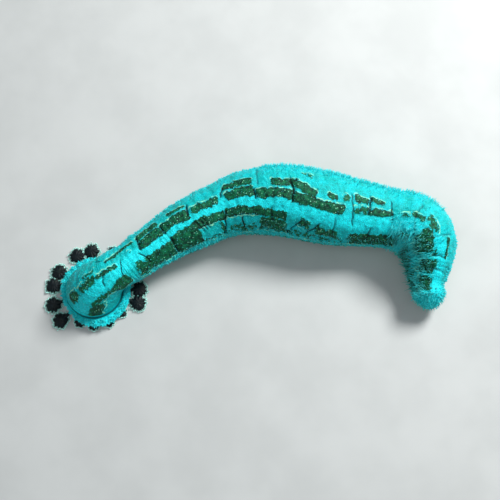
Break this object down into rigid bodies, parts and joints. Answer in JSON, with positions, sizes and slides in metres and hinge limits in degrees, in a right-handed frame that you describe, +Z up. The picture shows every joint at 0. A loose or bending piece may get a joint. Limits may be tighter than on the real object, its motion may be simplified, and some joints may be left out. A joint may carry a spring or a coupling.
{
  "type": "sea cucumber",
  "caption": "Life-size still model of a large, pale, brown-blotched sea cucumber feeding: arched body, bent tail, flared head ringed by dark shield-shaped tentacles.",
  "frame": {"origin": "floor level, under the middle of the animal's bounding box", "axes": "+Z up from the floor; +X from the head towards the tail's bend, the longest extent; +Y to the animal's left, where the back arches out"},
  "size_m": [0.3338, 0.1316, 0.0537],
  "materials": {
    "skin": "moist, warty, pale aqua-white with rows of olive-brown blotches",
    "tentacle": "moist black with a pale, branched margin",
    "mouth": "moist, puckered, brownish grey"
  },
  "bodies": {
    "root": {"head": "skin", "mouth": "mouth", "tentacle_01": "tentacle", "tentacle_02": "tentacle", "tentacle_03": "tentacle", "tentacle_04": "tentacle", "tentacle_05": "tentacle", "tentacle_06": "tentacle", "tentacle_07": "tentacle", "tentacle_08": "tentacle", "tentacle_09": "tentacle", "tentacle_10": "tentacle", "tentacle_11": "tentacle", "tentacle_12": "tentacle", "tentacle_13": "tentacle", "tentacle_14": "tentacle", "tentacle_15": "tentacle", "tentacle_16": "tentacle", "tentacle_17": "tentacle", "tentacle_18": "tentacle", "tentacle_19": "tentacle", "tentacle_20": "tentacle", "tentacle_21": "tentacle", "tentacle_22": "tentacle", "tentacle_23": "tentacle", "tentacle_24": "tentacle", "neck": "skin", "torso_front": "skin", "torso_middle": "skin", "torso_rear": "skin", "tail_bend": "skin", "tail": "skin"}
  },
  "joints": []
}
